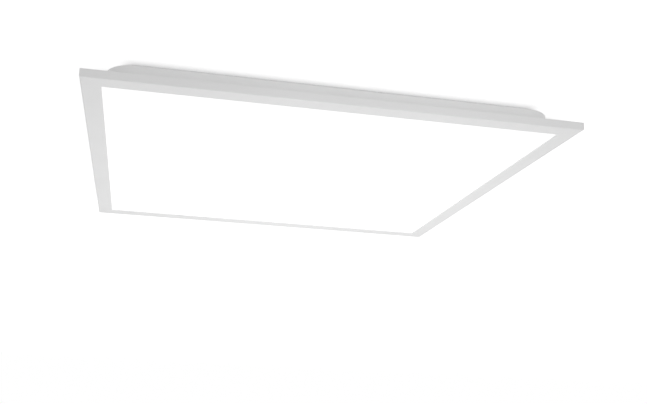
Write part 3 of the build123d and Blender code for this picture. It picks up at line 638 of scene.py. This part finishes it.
DRIVER_SCREW = (3.4 * MM, 2.2 * MM, 1.75 * MM)
PLASTIC_DRIFT = 25 * MM
SPARK_GRAIN = 0.35 * MM
TRACE_WIDTH = 0.3 * MM
FIELD_LENGTH, FIELD_WIDTH = 9 * MM, 3.1 * MM
SLEEVE_CREASE = 1 * MM
FERRITE_GRAIN = 0.4 * MM


def moulded_plastic(name, first, second, rough, grain_size):
    """Injection moulded plastic: an even colour with a slow drift, and the grain of its tool."""
    material, tree, place = new_finish(name)
    drift = add_node(tree, "TexNoise", {"Vector": place, "Scale": 1 / PLASTIC_DRIFT})
    colour = add_node(tree, "Mix", {"Factor": drift, "A": linear(first), "B": linear(second)},
                      data_type="RGBA")
    grain = add_node(tree, "TexNoise", {"Vector": place, "Scale": 1 / grain_size})
    matt = add_node(tree, "MapRange", {"Value": grain, **NOISE_SPAN,
                                       "To Min": rough - 0.06, "To Max": rough + 0.06})
    bump = add_node(tree, "Bump", {"Height": grain, "Strength": 0.6, "Distance": 0.03 * MM})
    plastic = add_node(tree, "BsdfPrincipled", {"Base Color": colour, "Roughness": matt,
                                                "IOR": 1.55, "Normal": bump})
    add_node(tree, "OutputMaterial", {"Surface": plastic})
    return material


dress(moulded_plastic("white_polycarbonate", "EAEAE8", "E4E4E1", 0.55, SPARK_GRAIN),
      "driver_base", "driver_cover", "wiring_cover")

low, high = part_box("driver_screws")
seat = high.z - DRIVER_SCREW[1]
places = np.array([(low.x + DRIVER_SCREW[0], 0, seat), (high.x - DRIVER_SCREW[0], 0, seat)])
screw_group("driver_screw_pair", "driver_screws", "luminaire", places,
            stopped_turns(len(places), 3), DRIVER_SCREW, seat - low.z)

# green solder mask is glossy, and thin copper traces stand out lighter round its bare fields
green_mask, tree, place = new_finish("green_solder_mask")
traces = add_node(tree, "TexBrick", {
    "Vector": place, "Scale": 1.0, "Color1": linear("1E6B39"), "Color2": linear("1A6234"),
    "Mortar": linear("2E8349"), "Mortar Size": TRACE_WIDTH, "Brick Width": FIELD_LENGTH,
    "Row Height": FIELD_WIDTH,
})
bump = add_node(tree, "Bump", {"Height": traces.outputs["Fac"], "Distance": 0.04 * MM})
mask = add_node(tree, "BsdfPrincipled", {"Base Color": traces, "Roughness": 0.3, "Normal": bump})
add_node(tree, "OutputMaterial", {"Surface": mask})
dress(green_mask, "driver_board")

# shrunk vinyl is smooth and glossy, with faint creases where it has drawn in
sleeve, tree, place = new_finish("shrunk_vinyl_sleeve")
creases = add_node(tree, "TexNoise", {"Vector": place, "Scale": 1 / SLEEVE_CREASE})
colour = add_node(tree, "Mix", {"Factor": creases, "A": linear("14161F"), "B": linear("1B1E29")},
                  data_type="RGBA")
shine = add_node(tree, "MapRange", {"Value": creases, **NOISE_SPAN, "To Min": 0.2, "To Max": 0.35})
vinyl = add_node(tree, "BsdfPrincipled", {"Base Color": colour, "Roughness": shine, "IOR": 1.54,
                                          "Coat Weight": 0.3})
add_node(tree, "OutputMaterial", {"Surface": vinyl})
dress(sleeve, "driver_capacitors")

# ground ferrite is a dark, dull ceramic with a sandy grain
ferrite, tree, place = new_finish("ground_ferrite")
grains = add_node(tree, "TexNoise", {"Vector": place, "Scale": 1 / FERRITE_GRAIN, "Detail": 4.0})
colour = add_node(tree, "Mix", {"Factor": grains, "A": linear("26262A"), "B": linear("38383C")},
                  data_type="RGBA")
bump = add_node(tree, "Bump", {"Height": grains, "Distance": 0.02 * MM})
core = add_node(tree, "BsdfPrincipled", {"Base Color": colour, "Roughness": 0.6, "Normal": bump})
add_node(tree, "OutputMaterial", {"Surface": core})
dress(ferrite, "driver_transformer")


# ---------------------------------------------------------------------------------------------
# Push-in terminal block.  Flame-retardant polyamide, light grey and slightly glossy from its
# polished mould, with three orange release buttons of the same plastic.

POLISHED_GRAIN = 0.5 * MM

dress(moulded_plastic("grey_polyamide", "D6D6D2", "CECEC9", 0.42, POLISHED_GRAIN), "terminal_block")
dress(moulded_plastic("orange_polyamide", "E8690F", "DF5F0A", 0.35, POLISHED_GRAIN),
      "release_button_live", "release_button_neutral", "release_button_earth")


# ---------------------------------------------------------------------------------------------
# Ceiling bracket.  Pressed from hot-dip galvanised sheet.  Zinc freezes in flat crystals, called
# spangle, each with its own grey and its own shine, crossed by fine rolling lines.

SPANGLE = 9.0 * MM
SPANGLE_WARP = 3.0 * MM
ROLLING_LINES = 0.3 * MM
ROLLING_STRETCH = 10

galvanised, tree, place = new_finish("galvanised_sheet")
warp = add_node(tree, "TexNoise", {"Vector": place, "Scale": 1 / (2 * SPANGLE_WARP)})
drift = add_node(tree, "VectorMath", {0: warp.outputs["Color"], 1: (SPANGLE_WARP,) * 3},
                 operation="MULTIPLY")
bent = add_node(tree, "VectorMath", {0: place, 1: drift}, operation="ADD")
crystals = add_node(tree, "TexVoronoi", {"Vector": bent, "Scale": 1 / SPANGLE})
facing = add_node(tree, "SeparateColor", {"Color": crystals.outputs["Color"]})
colour = add_node(tree, "Mix", {"Factor": facing.outputs["Red"], "A": linear("AFB4B9"),
                                "B": linear("CBCFD3")}, data_type="RGBA")
shine = add_node(tree, "MapRange", {"Value": facing.outputs["Green"], "To Min": 0.3, "To Max": 0.5})
rolled = add_node(tree, "Mapping", {"Vector": place, "Scale": (1 / ROLLING_STRETCH, 1.0, 1.0)})
lines = add_node(tree, "TexNoise", {"Vector": rolled, "Scale": 1 / ROLLING_LINES})
bump = add_node(tree, "Bump", {"Height": lines, "Distance": 0.01 * MM})
metal = add_node(tree, "BsdfPrincipled", {"Base Color": colour, "Metallic": 1.0, "Roughness": shine,
                                          "Normal": bump})
add_node(tree, "OutputMaterial", {"Surface": metal})
dress(galvanised, "ceiling_bracket")


# ---------------------------------------------------------------------------------------------
# Cable entry and side screws.  A large rubber grommet in the dish of the bracket takes the supply
# cable.  Four machine screws hold the housing by its slots, in nuts welded behind the lugs.

CABLE_FLANGE_HEIGHT, CABLE_WAIST, CABLE_BORE = 1.5 * MM, 14.95 * MM, 6.0 * MM
SIDE_SCREW = (SIDE_SCREW_HEAD, 2.4 * MM, 2.0 * MM)
# the screw's length goes through wall, lug and nut and a little past them
SIDE_SCREW_LENGTH = 7.05 * MM

low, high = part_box("cable_grommet")
grommet("cable_entry_grommet", "cable_grommet", "ceiling_mount", [(0, 0)], CABLE_BORE, CABLE_WAIST,
        high.x, low.z + CABLE_FLANGE_HEIGHT, high.z - CABLE_FLANGE_HEIGHT)

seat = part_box("side_screws")[1].x - SIDE_SCREW[1]
places, turns = [], []
for side in (-1, 1):
    # each has stopped at a turn of its own, here in radians
    for y, stop in ((-screw_row, 0.4 + side), (screw_row, 1.1 - side)):
        places.append((side * seat, y, screw_drop))
        turns.append(Matrix.Rotation(side * math.pi / 2, 3, "Y") @ Matrix.Rotation(stop, 3, "Z"))
screw_group("side_screw_set", "side_screws", "ceiling_mount", np.array(places), turns,
            SIDE_SCREW, SIDE_SCREW_LENGTH)


# ---------------------------------------------------------------------------------------------
# Ceiling and floor of the room, painted plain and pale.  The ceiling shows from below only and
# lets all other light through.  It has some white of its own, and in that white a painted shadow
# along the housing: the glow is dimmed where an occlusion reading finds the housing near.

CEILING_GLOW = 0.58
CEILING_WHITE = "E8E8E8"
CEILING_REACH = 4.0
CEILING_GAP = 0.05 * MM
FLOOR_GLOW = 0.4
FLOOR_WHITE = "F4F4F4"
FLOOR_REACH = 9.0
FLOOR_BELOW = 2.4
# how far the painted shadow reaches from the housing, how open a place is where no glow is
# left, and the power that lightens the rest
SHADOW_REACH = 19 * MM
SHADOW_BLACK = 0.47
SHADOW_EASE = 0.55
# the painted shadow is faded out round the corners, by place alone, between these two distances
# from the middle, and a little sooner on the right, by a shift along X
SHADOW_FADES = (238 * MM, 258 * MM)
SHADOW_DRIFT = 3.5 * MM


def room_surface(name, height, reach, faces_up, paint):
    """A level square of the room, reach metres each way from the middle, facing up or down."""
    square = np.array([(-1, -1), (1, -1), (1, 1), (-1, 1)], float) * reach
    mesh = bpy.data.meshes.new(name)
    corners = np.insert(square, 2, height, axis=1).tolist()
    mesh.from_pydata(corners, [], [(0, 1, 2, 3) if faces_up else (3, 2, 1, 0)])
    mesh.materials.append(paint)
    surface = bpy.data.objects.new(name, mesh)
    bpy.context.scene.collection.objects.link(surface)


def seen_directly(tree):
    """1 for rays that show a background, straight or in metal or clear plastic, and 0 for light."""
    path = add_node(tree, "LightPath")
    seen = path.outputs["Is Camera Ray"]
    for ray in ("Is Glossy Ray", "Is Transmission Ray"):
        seen = add_node(tree, "Math", {0: seen, 1: path.outputs[ray]}, operation="MAXIMUM")
    return seen


ceiling_paint, tree, place = new_finish("ceiling_paint")
along = add_node(tree, "SeparateXYZ", {"Vector": place})
drifted = add_node(tree, "Math", {0: along.outputs["X"], 1: SHADOW_DRIFT}, operation="ADD")
across = [add_node(tree, "Math", {0: way}, operation="ABSOLUTE")
          for way in (drifted, along.outputs["Y"])]
# where the painted shadow is faded out, by place alone
to_corner = add_node(tree, "Math", {0: across[0], 1: across[1]}, operation="MINIMUM")
at_corner = add_node(tree, "MapRange", {
    "Value": to_corner, "From Min": SHADOW_FADES[0], "From Max": SHADOW_FADES[1],
}, interpolation_type="SMOOTHSTEP")
# painted shadow: the ceiling's own glow is dimmed by how open each place is to the housing
open_share = add_node(tree, "AmbientOcclusion", {"Distance": SHADOW_REACH}, samples=16)
unshaded = add_node(tree, "MapRange", {"Value": open_share.outputs["AO"], "From Min": SHADOW_BLACK})
painted_shadow_eased = add_node(tree, "Math", {0: unshaded, 1: SHADOW_EASE}, operation="POWER")
level = add_node(tree, "Mix", {"Factor": at_corner, "A": painted_shadow_eased, "B": 1.0})
level = add_node(tree, "Math", {0: level, 1: CEILING_GLOW}, operation="MULTIPLY")
glow = add_node(tree, "Emission", {"Color": (1, 1, 1, 1), "Strength": level})
matt = add_node(tree, "BsdfDiffuse", {"Color": linear(CEILING_WHITE)})
lit = add_node(tree, "AddShader", {0: matt, 1: glow})
path = add_node(tree, "LightPath")
behind = add_node(tree, "NewGeometry").outputs["Backfacing"]
seen = add_node(tree, "Math", {0: path.outputs["Is Camera Ray"], 1: behind}, operation="SUBTRACT",
                use_clamp=True)
one_sided = add_node(tree, "MixShader", {0: seen, 1: add_node(tree, "BsdfTransparent"), 2: lit})
add_node(tree, "OutputMaterial", {"Surface": one_sided})

floor_paint, tree, place = new_finish("floor_paint")
strength = add_node(tree, "Math", {0: seen_directly(tree), 1: FLOOR_GLOW}, operation="MULTIPLY")
glow = add_node(tree, "Emission", {"Color": (1, 1, 1, 1), "Strength": strength})
matt = add_node(tree, "BsdfDiffuse", {"Color": linear(FLOOR_WHITE)})
lit = add_node(tree, "AddShader", {0: matt, 1: glow})
add_node(tree, "OutputMaterial", {"Surface": lit})

ceiling_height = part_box("ceiling_bracket")[1].z + CEILING_GAP
room_surface("room_ceiling_plane", ceiling_height, CEILING_REACH, False, ceiling_paint)
room_surface("room_floor_plane", -FLOOR_BELOW, FLOOR_REACH, True, floor_paint)


# ---------------------------------------------------------------------------------------------
# Light.  An even pale room, which shows as plain white.  A soft lamp below lights the underside of
# the frame, and one in front lights its near side and the housing's wall.

ROOM_LEVEL = 0.62

world = bpy.data.worlds.new("pale_room")
bpy.context.scene.world = world
world.use_nodes = True
tree = world.node_tree
tree.nodes.clear()
level = add_node(tree, "MapRange", {"Value": seen_directly(tree), "To Min": ROOM_LEVEL,
                                    "To Max": 1.0})
background = add_node(tree, "Background", {"Color": (1, 1, 1, 1), "Strength": level})
add_node(tree, "OutputWorld", {"Surface": background})


def soft_lamp(name, place, aim, size, power):
    """A square lamp of the given side and power, in metres and watts, turned towards a point."""
    data = bpy.data.lights.new(name, "AREA")
    data.size = size
    data.energy = power
    lamp = bpy.data.objects.new(name, data)
    lamp.location = place
    lamp.rotation_euler = (Vector(aim) - Vector(place)).to_track_quat("-Z", "Y").to_euler()
    lamp.visible_camera = False
    bpy.context.scene.collection.objects.link(lamp)


soft_lamp("lamp_below", place=(0.06, 0.13, -0.8), aim=(0.06, 0.13, 0.0), size=0.4, power=2.45)
soft_lamp("lamp_in_front", place=(0.09, -0.75, -0.15), aim=(0.09, -0.29, -0.02), size=0.3,
          power=0.44)


# ---------------------------------------------------------------------------------------------
# Camera.  Below the panel and in front of its left half, looking up by about sixteen degrees and a
# little to the right, through a lens that is shifted sideways only.

CAMERA_PLACE = (-0.21153, -1.13793, -0.39115)
CAMERA_YAW = 10.916
CAMERA_PITCH = 15.685
CAMERA_ROLL = 1.787
SENSOR = 36.0
FOCAL_LENGTH = 45.23
LENS_SHIFT = 0.035

yaw, pitch, roll = (math.radians(a) for a in (CAMERA_YAW, CAMERA_PITCH, CAMERA_ROLL))
ahead = np.array([math.sin(yaw) * math.cos(pitch), math.cos(yaw) * math.cos(pitch),
                  math.sin(pitch)])
level_right = np.array([math.cos(yaw), -math.sin(yaw), 0])
level_up = np.cross(level_right, ahead)
# the pose's columns are the camera's right, its up, the way behind it and its place
pose = np.eye(4)
pose[:3, 0] = level_right * math.cos(roll) + level_up * math.sin(roll)
pose[:3, 1] = -level_right * math.sin(roll) + level_up * math.cos(roll)
pose[:3, 2] = -ahead
pose[:3, 3] = CAMERA_PLACE
camera_data = bpy.data.cameras.new("camera")
camera_data.sensor_width = SENSOR
camera_data.lens = FOCAL_LENGTH
camera_data.shift_x = LENS_SHIFT
camera = bpy.data.objects.new("camera", camera_data)
camera.matrix_world = Matrix(pose.tolist())
bpy.context.scene.collection.objects.link(camera)
bpy.context.scene.camera = camera
bpy.context.scene.view_settings.view_transform = "Standard"
